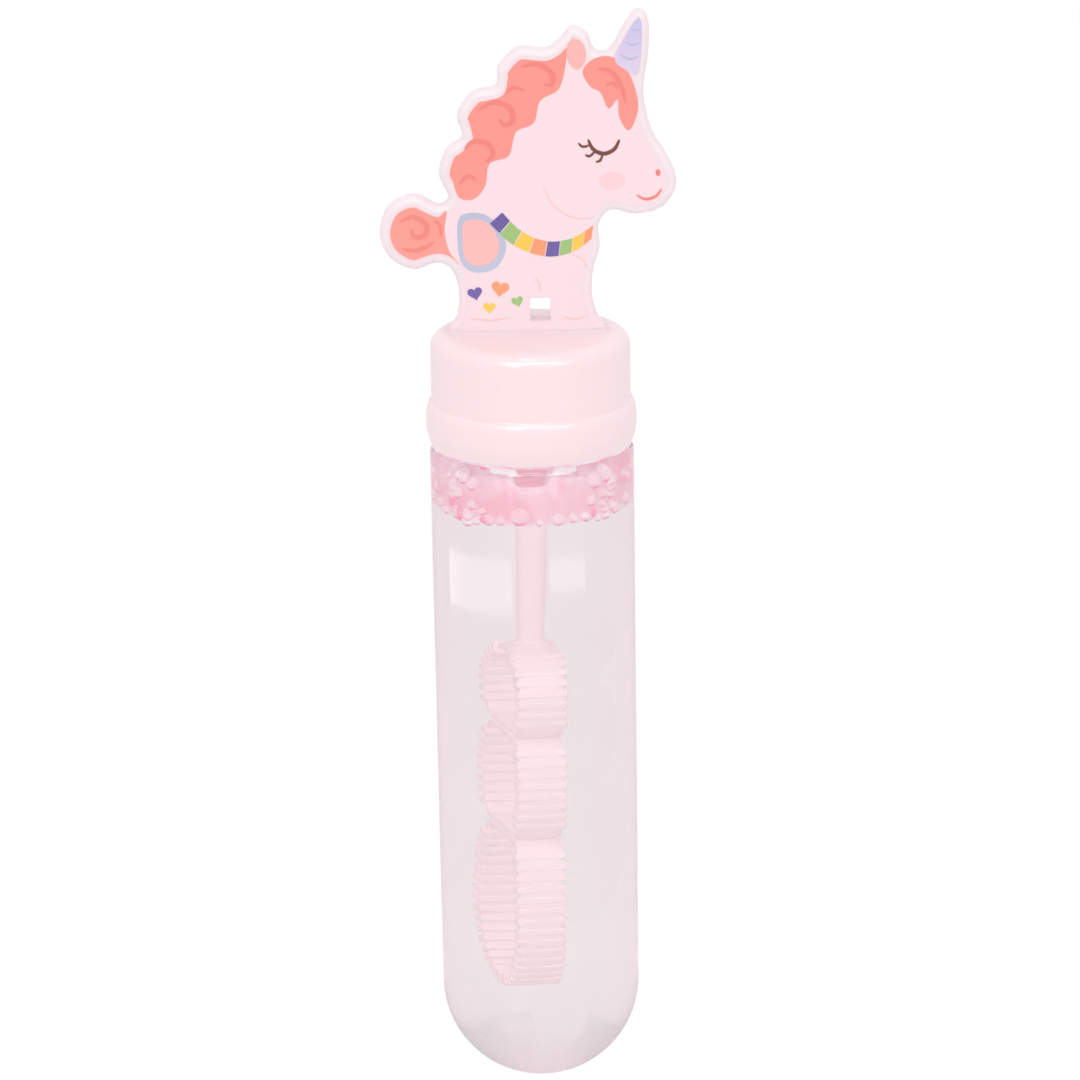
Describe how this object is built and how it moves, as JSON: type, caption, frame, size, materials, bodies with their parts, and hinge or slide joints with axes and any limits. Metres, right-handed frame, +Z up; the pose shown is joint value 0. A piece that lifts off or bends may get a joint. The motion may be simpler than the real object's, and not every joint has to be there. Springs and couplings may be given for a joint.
{
  "type": "bubble tube",
  "caption": "Test-tube style bubble toy: clear round-bottomed tube of bubble solution, push-fit cap with a ribbed multi-loop wand inside and a flat animal topper.",
  "frame": {"origin": "lowest point of the tube's round bottom, on the tube's axis", "axes": "+Z up along the tube's axis to the topper, +X along the topper's plate towards the animal's muzzle, +Y to the plate's plain back"},
  "size_m": [0.04, 0.0288, 0.1531],
  "materials": {
    "tube": "clear gloss plastic",
    "solution": "clear liquid",
    "cap": "satin",
    "liner": "matte",
    "topper": "satin, printed on its front",
    "wand": "satin"
  },
  "bodies": {
    "tube": {"tube": "tube", "bubble_solution": "solution"},
    "seal": {"cap_liner": "liner"},
    "cap": {"cap": "cap", "topper": "topper", "wand": "wand"}
  },
  "joints": [
    {"name": "cap_lift", "type": "slide", "parent": "tube", "child": "seal", "axis": [0, 0, 1], "range_m": [0, 0.1]},
    {"name": "cap_turn", "type": "hinge", "parent": "seal", "child": "cap", "pos_m": [0, 0, 0.1], "axis": [0, 0, 1], "continuous": true}
  ]
}
